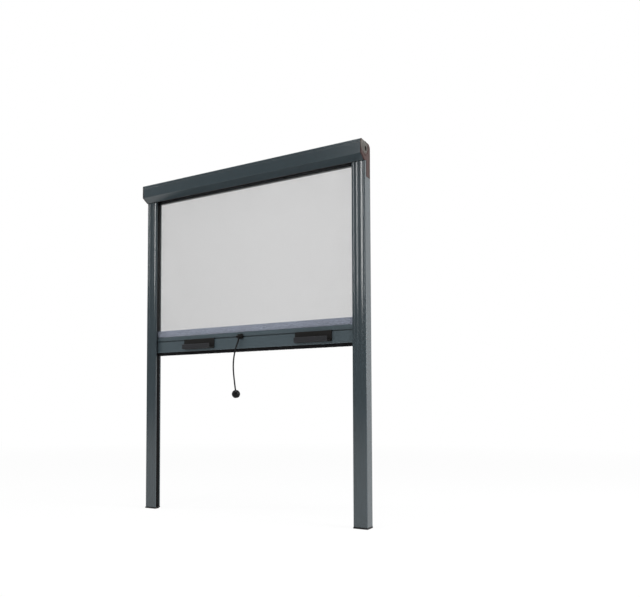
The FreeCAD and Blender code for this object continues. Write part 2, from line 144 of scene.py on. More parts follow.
half = floor_size / 2
corners = [(-half, -half, 0), (half, -half, 0), (half, half, 0), (-half, half, 0)]
floor_mesh = bpy.data.meshes.new("floor")
floor_mesh.from_pydata(corners, [], [(0, 1, 2, 3)])
floor = shown_object("floor", floor_mesh)
floor_material, tree = empty_material("pale floor")
rays = add(tree, "ShaderNodeLightPath").outputs
seen = maths(tree, "MAXIMUM", rays["Is Camera Ray"], rays["Is Transmission Ray"])
seen = maths(tree, "MAXIMUM", seen, rays["Is Glossy Ray"])
where = add(tree, "ShaderNodeTexCoord").outputs["Object"]
distance = add(tree, "ShaderNodeVectorMath", {0: where}, operation="LENGTH").outputs["Value"]
shown = maths(tree, "MULTIPLY", seen, ramp(tree, distance, *floor_fade, *floor_glow))
plain = add(tree, "ShaderNodeBsdfDiffuse", {"Color": floor_colour}).outputs[0]
glow = add(tree, "ShaderNodeEmission", {"Color": white, "Strength": 1.0}).outputs[0]
mixed = add(tree, "ShaderNodeMixShader", {0: shown, 1: plain, 2: glow}).outputs[0]
add(tree, "ShaderNodeOutputMaterial", {"Surface": mixed})
floor_mesh.materials.append(floor_material)

world = bpy.data.worlds.new("white room")
world.use_nodes = True
world.node_tree.nodes.clear()
scene.world = world
tree = world.node_tree
rays = add(tree, "ShaderNodeLightPath").outputs
outlook = add(tree, "ShaderNodeTexCoord").outputs["Generated"]
rearward = add(tree, "ShaderNodeSeparateXYZ", {0: outlook}).outputs["Y"]
mirrored = maths(tree, "MULTIPLY", rays["Is Glossy Ray"], ramp(tree, rearward, *paper_edge))
seen = maths(tree, "MAXIMUM", rays["Is Camera Ray"], rays["Is Transmission Ray"])
seen = maths(tree, "MAXIMUM", seen, mirrored)
mirror_share = mirror_light - ambient_light
dimmed = maths(tree, "MULTIPLY_ADD", rays["Is Glossy Ray"], mirror_share, ambient_light)
room = add(tree, "ShaderNodeBackground", {"Color": white, "Strength": dimmed}).outputs[0]
paper = add(tree, "ShaderNodeBackground", {"Color": white, "Strength": 1.0}).outputs[0]
mixed = add(tree, "ShaderNodeMixShader", {0: seen, 1: room, 2: paper}).outputs[0]
add(tree, "ShaderNodeOutputWorld", {"Surface": mixed})

# A lamp's turn is in degrees about the screen, from its front towards its right.
lamps = {
    "front_strip": {"turn": -7, "reach": 1.8, "height": 1.35, "size": (0.1, 1.25), "power": 7},
    "left_strip": {"turn": -62, "reach": 1.8, "height": 1.4, "size": (0.25, 1.3), "power": 12},
    "right_softbox": {"turn": 95, "reach": 1.8, "height": 1.0, "size": (0.9, 1.4), "power": 38},
    "top_softbox": {"turn": 20, "reach": 0.5, "height": 2.3, "size": (1.4, 1.0), "power": 26},
}
lamp_target = Vector((0, 0, 1.0))
for name, lamp in lamps.items():
    light = bpy.data.lights.new(name, "AREA")
    light.shape = "RECTANGLE"
    light.size, light.size_y = lamp["size"]
    light.energy = lamp["power"]
    turn = math.radians(lamp["turn"])
    reach = lamp["reach"]
    place = Vector((reach * math.sin(turn), -reach * math.cos(turn), lamp["height"]))
    lamp_object = shown_object(name, light)
    lamp_object.location = place
    lamp_object.rotation_euler = aimed(place, lamp_target)

# Cassette profile. An extruded aluminium box with a slanted lower front and a band along
# its top, powder coated in anthracite. It is sawn to length, and the end caps close it.
anthracite = (0.0285, 0.0415, 0.0485, 1)
coat_gloss = 0.7
coat_relief = 0.01 * MM
drawn_along_x = (6, 900, 900)
extrusion_edge = 0.3 * MM
edge_segments = 2
merge_distance = 0.001 * MM
flat_angle = math.radians(0.5)
edge_angle = math.radians(40)
crease_angle = math.radians(17)


def new_group(name, inputs, outputs, kind="ShaderNodeTree"):
    """A node group with these sockets; each is given its type, or its default value."""
    group = bpy.data.node_groups.new(name, kind)
    types = {
        float: "NodeSocketFloat",
        int: "NodeSocketInt",
        tuple: "NodeSocketColor",
        Vector: "NodeSocketVector",
    }
    for way, sockets in (("INPUT", inputs), ("OUTPUT", outputs)):
        for socket_name, value in sockets.items():
            typed = isinstance(value, str)
            socket_type = value if typed else types[type(value)]
            socket = group.interface.new_socket(socket_name, in_out=way, socket_type=socket_type)
            if not typed:
                socket.default_value = value
    return group, add(group, "NodeGroupInput").outputs, add(group, "NodeGroupOutput").inputs


def new_finish(name, inputs):
    """A node group for a finish; it puts out a colour, a roughness and a height."""
    outputs = {"Colour": "NodeSocketColor", "Roughness": "NodeSocketFloat", "Height": "NodeSocketFloat"}
    return new_group(name, inputs, outputs)


def put_out(group, result, colour, roughness, height):
    """Joins these to a finish group's outputs."""
    group.links.new(colour, result["Colour"])
    group.links.new(roughness, result["Roughness"])
    group.links.new(height, result["Height"])


def blended(tree, factor, first, second, mode="MIX"):
    """The output of a colour mix."""
    inputs = {0: factor, 6: first, 7: second}
    return add(tree, "ShaderNodeMix", inputs, data_type="RGBA", blend_type=mode).outputs[2]


def shaded(tree, colour, tone):
    """A colour times a grey tone."""
    grey = add(tree, "ShaderNodeCombineColor", {0: tone, 1: tone, 2: tone}).outputs[0]
    return blended(tree, 1.0, colour, grey, "MULTIPLY")


def layered(tree, base, *layers):
    """A base level, with a share of each layer added to it."""
    level = base
    for layer, share in layers:
        level = maths(tree, "MULTIPLY_ADD", layer, share, level)
    return level


def noise(tree, scale, detail=2.0, stretch=(1, 1, 1), roughness=0.5):
    """Noise with scale spots to a metre; stretch is how much finer it runs along X, Y and Z."""
    where = add(tree, "ShaderNodeTexCoord").outputs["Object"]
    placed = add(tree, "ShaderNodeMapping", {"Vector": where, "Scale": stretch}).outputs[0]
    inputs = {"Vector": placed, "Scale": scale, "Detail": detail, "Roughness": roughness}
    return add(tree, "ShaderNodeTexNoise", inputs).outputs["Fac"]


def finished_material(name, group, values, relief, gloss=0.5, metallic=0.0, sheen=0.0):
    """A material whose colour, roughness and bump come from a finish group."""
    material, tree = empty_material(name)
    finish = add(tree, "ShaderNodeGroup", node_tree=group)
    for key, value in values.items():
        finish.inputs[key].default_value = value
    height = {"Height": finish.outputs["Height"], "Distance": relief}
    surface = {
        "Base Color": finish.outputs["Colour"],
        "Roughness": finish.outputs["Roughness"],
        "Normal": add(tree, "ShaderNodeBump", height).outputs[0],
        "Metallic": metallic,
        "Specular IOR Level": gloss,
        "Sheen Weight": sheen,
    }
    shader = add(tree, "ShaderNodeBsdfPrincipled", surface).outputs[0]
    add(tree, "ShaderNodeOutputMaterial", {"Surface": shader})
    return material


coat_group, given, result = new_finish(
    "powder coat", {"Colour": anthracite, "Stretch": Vector((1, 1, 1)), "Grain": 1.0}
)
cloud = noise(coat_group, 9.0)
lines = noise(coat_group, 1.0, 3.0, given["Stretch"])
peel = noise(coat_group, 900.0, 1.0)
speck = noise(coat_group, 2600.0, 0.0)
tone = layered(coat_group, 0.8, (cloud, 0.22), (lines, 0.16), (speck, 0.16))
grain = maths(coat_group, "MULTIPLY", peel, given["Grain"])
put_out(
    coat_group,
    result,
    colour=shaded(coat_group, given["Colour"], tone),
    roughness=layered(coat_group, 0.13, (peel, 0.1)),
    height=layered(coat_group, grain, (lines, 0.35)),
)


def coat(name, colour, stretch, grain=1.0, relief=coat_relief):
    """Powder coat on an extrusion; stretch is how its faint lines run."""
    values = {"Colour": colour, "Stretch": stretch, "Grain": grain}
    return finished_material(name, coat_group, values, relief, coat_gloss)


def paint(thing, material):
    """Gives every face of an object this material."""
    if not thing.material_slots:
        thing.data.materials.append(material)
    for slot in thing.material_slots:
        slot.material = material


def clean_copy(node, name):
    """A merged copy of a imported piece, with its flat faces whole."""
    shape = bmesh.new()
    shape.from_mesh(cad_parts[node].data)
    bmesh.ops.remove_doubles(shape, verts=shape.verts, dist=merge_distance)
    bmesh.ops.dissolve_limit(shape, angle_limit=flat_angle, verts=shape.verts, edges=shape.edges)
    mesh = bpy.data.meshes.new(name)
    shape.to_mesh(mesh)
    shape.free()
    packed_normals = mesh.attributes.get("custom_normal")
    if packed_normals:
        mesh.attributes.remove(packed_normals)
    return shown_object(name, mesh)


def round_edges(piece, radius):
    """Smooth faces between sharp edges, and a small radius on those edges."""
    for face in piece.data.polygons:
        face.use_smooth = True
    piece.data.set_sharp_from_angle(angle=crease_angle)
    bevel = piece.modifiers.new("edges", "BEVEL")
    bevel.width = radius
    bevel.segments = edge_segments
    bevel.limit_method = "ANGLE"
    bevel.angle_limit = edge_angle
    bevel.harden_normals = True


def seat(piece, body, slot, *nodes):
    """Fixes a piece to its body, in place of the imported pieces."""
    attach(piece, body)
    if nodes:
        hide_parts(*nodes)


def soften(node, name, body, slot, radius, material):
    """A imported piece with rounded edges, in its place."""
    piece = clean_copy(node, name)
    round_edges(piece, radius)
    paint(piece, material)
    seat(piece, body, slot, node)


cassette_coat = coat("anthracite coat, drawn along X", anthracite, drawn_along_x)
soften(
    "cassette_profile", "cassette_body", "frame", "anthracite_aluminium", extrusion_edge, cassette_coat
)

# Cassette brush. A black pile seal in a slot right behind the slanted front, which lies on
# the mesh where it leaves. The pile is cut from many fine fibres, on a flat base.
pile_black = (0.006, 0.006, 0.007, 1)
pile_grey = (0.018, 0.018, 0.019, 1)
pile_width = 3.4 * MM
base_width = 4.9 * MM
base_thickness = 0.9 * MM
fibre_width = 0.34 * MM
fibre_pitch = 0.62 * MM
fibre_rows = 5
fibre_lean = math.radians(7)
long_fibre_lean = math.radians(2.5)
fibre_foot = 0.6  # its radius at the foot, in fibre widths
fibre_tip = 0.25  # and at the tip
fibre_stray = 0.35  # how far it stands off its place, in pitches
shortest_fibre = 0.93  # as a share of the longest
core_share = 0.9  # the dense core's height, as a share of the pile's
core_margin = 1.5  # fibre widths by which the core is narrower than the pile

brush_tree, given, result = new_group(
    "brush strip",
    {
        "Length": "NodeSocketFloat",
        "Height": "NodeSocketFloat",
        "Width": pile_width,
        "Pitch": fibre_pitch,
        "Rows": fibre_rows,
        "Fibre": fibre_width,
        "Lean": fibre_lean,
        "Base Width": base_width,
        "Base Thickness": base_thickness,
        "Seed": "NodeSocketInt",
        "Material": "NodeSocketMaterial",
    },
    {"Strip": "NodeSocketGeometry"},
    "GeometryNodeTree",
)


def vector(tree, x, y, z):
    """A vector's output, from values or outputs."""
    return add(tree, "ShaderNodeCombineXYZ", {0: x, 1: y, 2: z}).outputs[0]


def random_vector(tree, low, high, seed):
    """A random vector for each point; low and high are vectors or outputs."""
    inputs = {0: low, 1: high, "Seed": seed}
    return add(tree, "FunctionNodeRandomValue", inputs, data_type="FLOAT_VECTOR").outputs[0]


def box_mesh(tree, size, middle):
    """A box of this size about this middle."""
    cube = add(tree, "GeometryNodeMeshCube", {"Size": size}).outputs["Mesh"]
    return add(tree, "GeometryNodeTransform", {"Geometry": cube, "Translation": middle}).outputs[0]


def joined_and_painted(tree, parts, material, out):
    """Joins the parts as one real mesh with one material."""
    join = add(tree, "GeometryNodeJoinGeometry")
    for part in parts:
        tree.links.new(part, join.inputs[0])
    real = add(tree, "GeometryNodeRealizeInstances", {"Geometry": join.outputs[0]}).outputs[0]
    painted = add(tree, "GeometryNodeSetMaterial", {"Geometry": real, "Material": material})
    tree.links.new(painted.outputs[0], out)


tree = brush_tree
count = maths(tree, "DIVIDE", given["Length"], given["Pitch"])
room_x = maths(tree, "SUBTRACT", given["Length"], given["Fibre"])
room_y = maths(tree, "SUBTRACT", given["Width"], given["Fibre"])
rows = {"Size X": room_x, "Size Y": room_y, "Vertices X": count, "Vertices Y": given["Rows"]}
grid = add(tree, "GeometryNodeMeshGrid", rows).outputs["Mesh"]
stray = maths(tree, "MULTIPLY", given["Pitch"], fibre_stray)
back = maths(tree, "MULTIPLY", stray, -1)
farthest = vector(tree, stray, stray, 0)
shift = random_vector(tree, vector(tree, back, back, 0), farthest, given["Seed"])
roots = add(tree, "GeometryNodeSetPosition", {"Geometry": grid, "Offset": shift}).outputs[0]
foot = maths(tree, "MULTIPLY", given["Fibre"], fibre_foot)
tip = maths(tree, "MULTIPLY", given["Fibre"], fibre_tip)
cone = {"Vertices": 3, "Radius Bottom": foot, "Radius Top": tip, "Depth": given["Height"]}
fibre = add(tree, "GeometryNodeMeshCone", cone).outputs["Mesh"]
lean_back = maths(tree, "MULTIPLY", given["Lean"], -1)
most_turn = vector(tree, given["Lean"], given["Lean"], math.tau)
turn_seed = maths(tree, "ADD", given["Seed"], 1)
turn = random_vector(tree, vector(tree, lean_back, lean_back, 0), most_turn, turn_seed)
length_seed = maths(tree, "ADD", given["Seed"], 2)
length = random_vector(tree, (1, 1, shortest_fibre), (1, 1, 1), length_seed)
planted = {"Points": roots, "Instance": fibre, "Rotation": turn, "Scale": length}
pile = add(tree, "GeometryNodeInstanceOnPoints", planted).outputs[0]
core_height = maths(tree, "MULTIPLY", given["Height"], core_share)
core_width = maths(tree, "MULTIPLY_ADD", given["Fibre"], -core_margin, given["Width"])
core_size = vector(tree, given["Length"], core_width, core_height)
core = box_mesh(tree, core_size, vector(tree, 0, 0, maths(tree, "DIVIDE", core_height, 2)))
base_size = vector(tree, given["Length"], given["Base Width"], given["Base Thickness"])
base_middle = vector(tree, 0, 0, maths(tree, "DIVIDE", given["Base Thickness"], -2))
base = box_mesh(tree, base_size, base_middle)
joined_and_painted(tree, [pile, core, base], given["Material"], result["Strip"])

pile_group, given, result = new_finish("fibre pile", {"Dark": pile_black, "Light": pile_grey})
tufts = noise(pile_group, 700.0, 3.0)
put_out(
    pile_group,
    result,
    colour=blended(pile_group, tufts, given["Dark"], given["Light"]),
    roughness=layered(pile_group, 0.75, (tufts, 0.2)),
    height=tufts,
)
pile_colours = {"Dark": pile_black, "Light": pile_grey}
pile_material = finished_material("black pile", pile_group, pile_colours, relief=0.08 * MM, gloss=0.1)


def grown(name, tree, values, source=None):
    """The plain mesh object that a tree makes from these values."""
    carrier = shown_object(name, source or bpy.data.meshes.new(name))
    modifier = carrier.modifiers.new(name, "NODES")
    modifier.node_group = tree
    for socket in tree.interface.items_tree:
        if socket.in_out == "INPUT" and socket.name in values:
            modifier[socket.identifier] = values[socket.name]
    bpy.context.view_layer.update()
    evaluated = carrier.evaluated_get(bpy.context.evaluated_depsgraph_get())
    mesh = bpy.data.meshes.new_from_object(evaluated)
    bpy.data.objects.remove(carrier)
    mesh.name = name
    return shown_object(name, mesh)


def brush(name, node, body, along, out, seed, lean=fibre_lean):
    """Pile in place of a packed brush; along is the way it runs, and out the way it points."""
    low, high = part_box(node)
    along = Vector(along)
    out = Vector(out)
    size = high - low
    depth = abs(size.dot(out))
    root = (low + high) / 2 + out * (base_thickness - depth / 2)
    values = {
        "Length": size.dot(along),
        "Height": depth - base_thickness,
        "Lean": lean,
        "Seed": seed,
        "Material": pile_material,
    }
    strip = grown(name, brush_tree, values)
    turned = Matrix((along, out.cross(along), out)).transposed().to_4x4()
    strip.data.transform(Matrix.Translation(root) @ turned)
    seat(strip, body, "brush_pile", node)


brush(
    "cassette_pile",
    "cassette_brush",
    "frame",
    along=(1, 0, 0),
    out=(0, 1, 0),
    seed=11,
    lean=long_fibre_lean,
)

# Spring shaft, idler pin and spring. The shaft is held in the right end cap, with a slotted
# end to wind it, and the pin in the left one. Both are blackened steel. The spring of bright
# drawn wire works between the shaft's collar and the roller's bush.
steel = (0.42, 0.42, 0.43, 1)
black_steel = (0.05, 0.045, 0.042, 1)
steel_stretch = (40, 2500, 2500)
metal_relief = 0.004 * MM

metal_group, given, result = new_finish(
    "drawn metal", {"Colour": steel, "Stretch": Vector((1, 1, 1)), "Base Roughness": 0.3}
)
drawn = noise(metal_group, 1.0, 4.0, given["Stretch"])
smudge = noise(metal_group, 60.0, 3.0)
tone = layered(metal_group, 0.75, (drawn, 0.3))
put_out(
    metal_group,
    result,
    colour=shaded(metal_group, given["Colour"], tone),
    roughness=layered(metal_group, given["Base Roughness"], (smudge, 0.2)),
    height=drawn,
)


def metal(name, colour, stretch, roughness):
    """Bare metal; stretch is how its drawing lines run."""
    values = {"Colour": colour, "Stretch": stretch, "Base Roughness": roughness}
    return finished_material(name, metal_group, values, metal_relief, metallic=1.0)


spring_steel = metal("drawn steel", steel, steel_stretch, roughness=0.2)
blackened_steel = metal("blackened steel", black_steel, steel_stretch, roughness=0.35)
paint(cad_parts["torsion_spring"], spring_steel)
for node in ("idler_pin", "spring_shaft"):
    paint(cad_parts[node], blackened_steel)

# Roller tube and its bushes. The tube is mill finished aluminium, and the bushes in its
# ends are moulded in black plastic and run on the shaft and the pin.
mill_aluminium = (0.62, 0.62, 0.63, 1)
tube_stretch = (20, 1500, 1500)
black_plastic = (0.009, 0.009, 0.0095, 1)

moulded_group, given, result = new_finish(
    "moulded plastic", {"Colour": black_plastic, "Base Roughness": 0.4, "Grain Size": 0.25 * MM}
)
grain_scale = maths(moulded_group, "DIVIDE", 1.0, given["Grain Size"])
grain = noise(moulded_group, grain_scale, roughness=0.6)
flow = noise(moulded_group, 45.0)
tone = layered(moulded_group, 0.72, (flow, 0.35), (grain, 0.25))
put_out(
    moulded_group,
    result,
    colour=shaded(moulded_group, given["Colour"], tone),
    roughness=layered(moulded_group, given["Base Roughness"], (grain, 0.22)),
    height=grain,
)


def moulded(name, colour, roughness, grain, relief, gloss=0.5):
    """Moulded plastic; grain is the size of the fine grain on its faces."""
    values = {"Colour": colour, "Base Roughness": roughness, "Grain Size": grain}
    return finished_material(name, moulded_group, values, relief, gloss)


black_moulded = moulded(
    "black plastic", black_plastic, roughness=0.34, grain=0.35 * MM, relief=0.02 * MM, gloss=0.2
)
tube_material = metal("mill aluminium", mill_aluminium, tube_stretch, roughness=0.3)
paint(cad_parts["roller_tube"], tube_material)
for node in ("roller_left_plug", "roller_right_plug"):
    paint(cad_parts[node], black_moulded)

# Rolled mesh. The turns of insect mesh that are still on the tube lie close on each other,
# so the roll is one smooth body with the weave on its face.
thread_grey = (0.085, 0.085, 0.088, 1)
roll_shadow = (0.02, 0.02, 0.022, 1)
warp_pitch = 1.41 * MM
weft_pitch = 1.59 * MM
roll_low, roll_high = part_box("mesh_roll")
roll_middle = (roll_low + roll_high) / 2
roll_radius = (roll_high.z - roll_low.z) / 2


def place_on_piece(tree):
    """The X, Y and Z outputs of each point's place."""
    where = add(tree, "ShaderNodeTexCoord").outputs["Object"]
    return add(tree, "ShaderNodeSeparateXYZ", {0: where}).outputs


def wave(tree, way):
    """A sine wave that crosses zero at each whole number."""
    return maths(tree, "SINE", maths(tree, "MULTIPLY", way, math.pi))


roll_group, given, result = new_finish(
    "rolled weave", {"Colour": thread_grey, "Warp": warp_pitch, "Weft": weft_pitch}
)
place = place_on_piece(roll_group)
off_y = maths(roll_group, "SUBTRACT", place["Y"], roll_middle.y)
off_z = maths(roll_group, "SUBTRACT", place["Z"], roll_middle.z)
arc = maths(roll_group, "MULTIPLY", maths(roll_group, "ARCTAN2", off_y, off_z), roll_radius)
round_way = maths(roll_group, "DIVIDE", arc, given["Weft"])
long_way = maths(roll_group, "DIVIDE", place["X"], given["Warp"])
warp_wave = maths(roll_group, "ABSOLUTE", wave(roll_group, long_way))
weft_wave = maths(roll_group, "ABSOLUTE", wave(roll_group, round_way))
hollow = maths(roll_group, "MULTIPLY", warp_wave, weft_wave)
put_out(
    roll_group,
    result,
    colour=blended(roll_group, hollow, given["Colour"], roll_shadow),
    roughness=layered(roll_group, 0.55, (hollow, 0.3)),
    height=maths(roll_group, "SUBTRACT", 1.0, hollow),
)
roll_material = finished_material("rolled mesh", roll_group, {"Colour": thread_grey}, relief=0.25 * MM)
paint(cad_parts["mesh_roll"], roll_material)

# End caps. Brown moulded plates with a ring and a hub about the hole for the shaft, and a
# tongue that lies in a notch at the top of the rail's outside. A paler grey is painted above
# and ahead of the hub as a painted highlight, and a darker brown down the rear edge as painted shade.
cap_brown = (0.045, 0.026, 0.024, 1)
# The next two colours are painted shade for the rear edge and a painted highlight above the hub.
cap_shade_brown = (0.026, 0.016, 0.013, 1)
hub_highlight_grey = (0.085, 0.08, 0.073, 1)
highlight_reach = 12.5 * MM
highlight_fade = 4.0 * MM
highlight_rise = 4.5 * MM
highlight_ahead = 5.0 * MM
shade_strip = 5.5 * MM
shade_fade = 1.0 * MM
cap_edge = 0.25 * MM


def tint(material, mask, colour):
    """Lays a colour over the material's own, where the mask is 1."""
    tree = material.node_tree
    surface = next(node for node in tree.nodes if node.type == "BSDF_PRINCIPLED")
    own = surface.inputs["Base Color"].links[0].from_socket
    tree.links.new(blended(tree, mask, own, colour), surface.inputs["Base Color"])


cap_material = moulded(
    "brown plastic", cap_brown, roughness=0.38, grain=0.4 * MM, relief=0.02 * MM, gloss=0.12
)
tree = cap_material.node_tree
place = place_on_piece(tree)
# Painted shade: a darker brown laid along the cap's rear edge.
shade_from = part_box("right_end_cap")[1].y - shade_strip
tint(cap_material, ramp(tree, place["Y"], shade_from - shade_fade, shade_from), cap_shade_brown)
# Painted highlight: a paler grey laid over a disc above and ahead of the hub.
off_y = maths(tree, "SUBTRACT", place["Y"], roll_middle.y - highlight_ahead)
off_z = maths(tree, "SUBTRACT", place["Z"], roll_middle.z + highlight_rise)
squares = maths(tree, "ADD", maths(tree, "POWER", off_y, 2), maths(tree, "POWER", off_z, 2))
away = maths(tree, "SQRT", squares)
tint(cap_material, ramp(tree, away, highlight_reach, highlight_reach + highlight_fade, 1.0, 0.0), hub_highlight_grey)
for side in ("left", "right"):
    soften(side + "_end_cap", side + "_cap_moulding", "frame", "brown_plastic", cap_edge, cap_material)

# Guide rails. Extruded aluminium channels with their mouths inwards and shallow rounded
# reeds down the front, powder coated like the cassette.
drawn_along_z = (900, 900, 6)
rail_grain = 0.5
rail_relief = 0.004 * MM

rail_coat = coat("anthracite coat, drawn along Z", anthracite, drawn_along_z, rail_grain, rail_relief)
for side in ("left", "right"):
    soften(
        side + "_guide_rail", side + "_rail", "frame", "anthracite_aluminium", extrusion_edge, rail_coat
    )

# Rail brushes. Each flange of a rail holds a strip of the same pile, which runs on the
# front or the rear of the pull bar and closes the gap beside the mesh.
for side in ("left", "right"):
    for face, out, seed in (("front", 1, 21), ("rear", -1, 31)):
        seed += side == "right"
        place = f"{side}_{face}"
        brush(place + "_pile", place + "_brush", "frame", (0, 0, 1), (0, out, 0), seed)

# Foot caps. Black moulded plates under the rails, a little proud of them, each with a
# plug that is pushed up into the channel.
foot_edge = 0.3 * MM
for side in ("left", "right"):
    soften(side + "_foot_cap", side + "_foot", "frame", "black_plastic", foot_edge, black_moulded)

# Insect mesh. Glass fibre threads in a grey coating, woven and then fused where they
# cross. It comes off the roll and is drawn down to the bar with its edges in the rails.
thread_radius = 0.18 * MM
thread_sides = 6
upright = (0, 0, 0)
on_its_side = (0, math.pi / 2, 0)

mesh_tree, given, result = new_group(
    "insect mesh",
    {
        "Width": "NodeSocketFloat",
        "Height": "NodeSocketFloat",
        "Warp Pitch": warp_pitch,
        "Weft Pitch": weft_pitch,
        "Radius": thread_radius,
        "Material": "NodeSocketMaterial",
    },
    {"Mesh": "NodeSocketGeometry"},
    "GeometryNodeTree",
)


def scaled(tree, way, factor):
    """A vector times a factor."""
    inputs = {0: way, "Scale": factor}
    return add(tree, "ShaderNodeVectorMath", inputs, operation="SCALE").outputs[0]


def threads(tree, run, spread, pitch, radius, spread_way, turn):
    """Round threads of length run, set at pitch over spread."""
    size = {"Vertices": thread_sides, "Radius": radius, "Depth": run}
    rod = add(tree, "GeometryNodeMeshCylinder", size).outputs
    sides = {"Geometry": rod["Mesh"], "Selection": rod["Side"]}
    smooth = add(tree, "GeometryNodeSetShadeSmooth", sides).outputs[0]
    laid = add(tree, "GeometryNodeTransform", {"Geometry": smooth, "Rotation": turn}).outputs[0]
    room = maths(tree, "MULTIPLY_ADD", radius, -2, spread)
    gaps = maths(tree, "FLOOR", maths(tree, "DIVIDE", room, pitch))
    start = maths(tree, "MULTIPLY", maths(tree, "MULTIPLY", gaps, pitch), -0.5)
    row = {
        "Count": maths(tree, "ADD", gaps, 1),
        "Start Location": scaled(tree, spread_way, start),
        "Offset": scaled(tree, spread_way, pitch),
    }
    points = add(tree, "GeometryNodeMeshLine", row).outputs[0]
    return add(tree, "GeometryNodeInstanceOnPoints", {"Points": points, "Instance": laid}).outputs[0]


tree = mesh_tree
width = given["Width"]
height = given["Height"]
radius = given["Radius"]
warps = threads(tree, height, width, given["Warp Pitch"], radius, (1, 0, 0), upright)
wefts = threads(tree, width, height, given["Weft Pitch"], radius, (0, 0, 1), on_its_side)
joined_and_painted(tree, [warps, wefts], given["Material"], result["Mesh"])

thread_group, given, result = new_finish("coated thread", {"Colour": thread_grey})
ripple = noise(thread_group, 1500.0)
bands = noise(thread_group, 1.0, stretch=(260, 1, 6))
tone = layered(thread_group, 0.6, (ripple, 0.4), (bands, 0.4))
put_out(
    thread_group,
    result,
    colour=shaded(thread_group, given["Colour"], tone),
    roughness=layered(thread_group, 0.4, (ripple, 0.2)),
    height=ripple,
)
thread_material = finished_material(
    "coated thread", thread_group, {"Colour": thread_grey}, relief=0.03 * MM
)

low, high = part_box("insect_mesh")
span = high - low
mesh_values = {"Width": span.x, "Height": span.z, "Material": thread_material}
insect_mesh = grown("drawn_mesh", mesh_tree, mesh_values)
insect_mesh.data.transform(Matrix.Translation((low + high) / 2))
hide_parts("insect_mesh")
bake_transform(insect_mesh)

# Hem. The mesh ends in a doubled grey woven tape, which stands on the pull bar and is
# locked in it by a round rod of soft plastic.
hem_grey = (0.385, 0.43, 0.535, 1)
hem_dark = (0.12, 0.125, 0.145, 1)
rod_black = (0.03, 0.03, 0.031, 1)
yarn_pitch = 2.1 * MM
yarn_rows = 12
yarn_radius = 0.62 * MM
yarn_reach = 0.42  # half a float's length, in pitches
yarn_flatness = 0.8
yarn_twist = (0.15, 0.5)  # radians, from the least to the most
least_yarn = (0.85, 0.75, 0.8)
most_yarn = (1.12, 1.0, 1.1)
end_margin = 1.5  # pitches that the rows end short of the tape
yarn_gap = (0.35, 0.62)  # levels of the noise between which the dark gaps end
weave_seed = 5

hem_tree, given, result = new_group(
    "woven tape",
    {
        "Length": "NodeSocketFloat",
        "Height": "NodeSocketFloat",
        "Thickness": "NodeSocketFloat",
        "Pitch": yarn_pitch,
        "Rows": yarn_rows,
        "Yarn": yarn_radius,
        "Seed": weave_seed,
        "Material": "NodeSocketMaterial",
    },
    {"Tape": "NodeSocketGeometry"},
    "GeometryNodeTree",
)
tree = hem_tree
body_thickness = maths(tree, "SUBTRACT", given["Thickness"], given["Yarn"])
body_size = vector(tree, given["Length"], body_thickness, given["Height"])
row_height = maths(tree, "DIVIDE", given["Height"], given["Rows"])
columns = maths(tree, "FLOOR", maths(tree, "DIVIDE", given["Length"], given["Pitch"]))
margin = maths(tree, "MULTIPLY", given["Pitch"], end_margin)
rows = {
    "Size X": maths(tree, "SUBTRACT", given["Length"], margin),
    "Size Y": maths(tree, "SUBTRACT", given["Height"], row_height),
    "Vertices X": columns,
    "Vertices Y": given["Rows"],
}
grid = add(tree, "GeometryNodeMeshGrid", rows).outputs["Mesh"]
raised = {"Geometry": grid, "Rotation": (math.pi / 2, 0, 0)}
upright_grid = add(tree, "GeometryNodeTransform", raised).outputs[0]
index = add(tree, "GeometryNodeInputIndex").outputs[0]
odd = maths(tree, "MODULO", maths(tree, "MODULO", index, given["Rows"]), 2)
half_pitch = maths(tree, "DIVIDE", given["Pitch"], 2)
slide = maths(tree, "MULTIPLY", maths(tree, "SUBTRACT", odd, 0.5), half_pitch)
ball = add(tree, "GeometryNodeMeshIcoSphere", {"Radius": 1.0, "Subdivisions": 1}).outputs["Mesh"]
ball = add(tree, "GeometryNodeSetShadeSmooth", {"Geometry": ball}).outputs[0]
yarn_half = maths(tree, "MULTIPLY", given["Pitch"], yarn_reach)
yarn_depth = maths(tree, "MULTIPLY", given["Yarn"], yarn_flatness)
yarn_size = vector(tree, yarn_half, yarn_depth, given["Yarn"])
yarn = add(tree, "GeometryNodeTransform", {"Geometry": ball, "Scale": yarn_size}).outputs[0]
faces = []
for side in (-1, 1):
    face_y = maths(tree, "MULTIPLY", body_thickness, side * 0.5)
    shift = {"Geometry": upright_grid, "Offset": vector(tree, slide, face_y, 0)}
    spots = add(tree, "GeometryNodeSetPosition", shift).outputs[0]
    twist_seed = maths(tree, "ADD", given["Seed"], 3 + side)
    twist = random_vector(tree, (0, yarn_twist[0], 0), (0, yarn_twist[1], 0), twist_seed)
    size_seed = maths(tree, "ADD", given["Seed"], 7 + side)
    size = random_vector(tree, least_yarn, most_yarn, size_seed)
    woven = {"Points": spots, "Instance": yarn, "Rotation": twist, "Scale": size}
    faces.append(add(tree, "GeometryNodeInstanceOnPoints", woven).outputs[0])
body = box_mesh(tree, body_size, (0, 0, 0))
joined_and_painted(tree, [body, *faces], given["Material"], result["Tape"])

yarn_group, given, result = new_finish("spun yarn", {"Colour": hem_grey, "Dark": hem_dark})
spun = noise(yarn_group, 620.0, 3.0)
patch = noise(yarn_group, 90.0)
colour = blended(yarn_group, ramp(yarn_group, spun, *yarn_gap), given["Dark"], given["Colour"])
put_out(
    yarn_group,
    result,
    colour=shaded(yarn_group, colour, layered(yarn_group, 0.82, (patch, 0.35))),
    roughness=layered(yarn_group, 0.7, (spun, 0.2)),
    height=spun,
)
hem_colours = {"Colour": hem_grey, "Dark": hem_dark}
hem_material = finished_material("woven tape", yarn_group, hem_colours, relief=0.1 * MM, sheen=0.2)

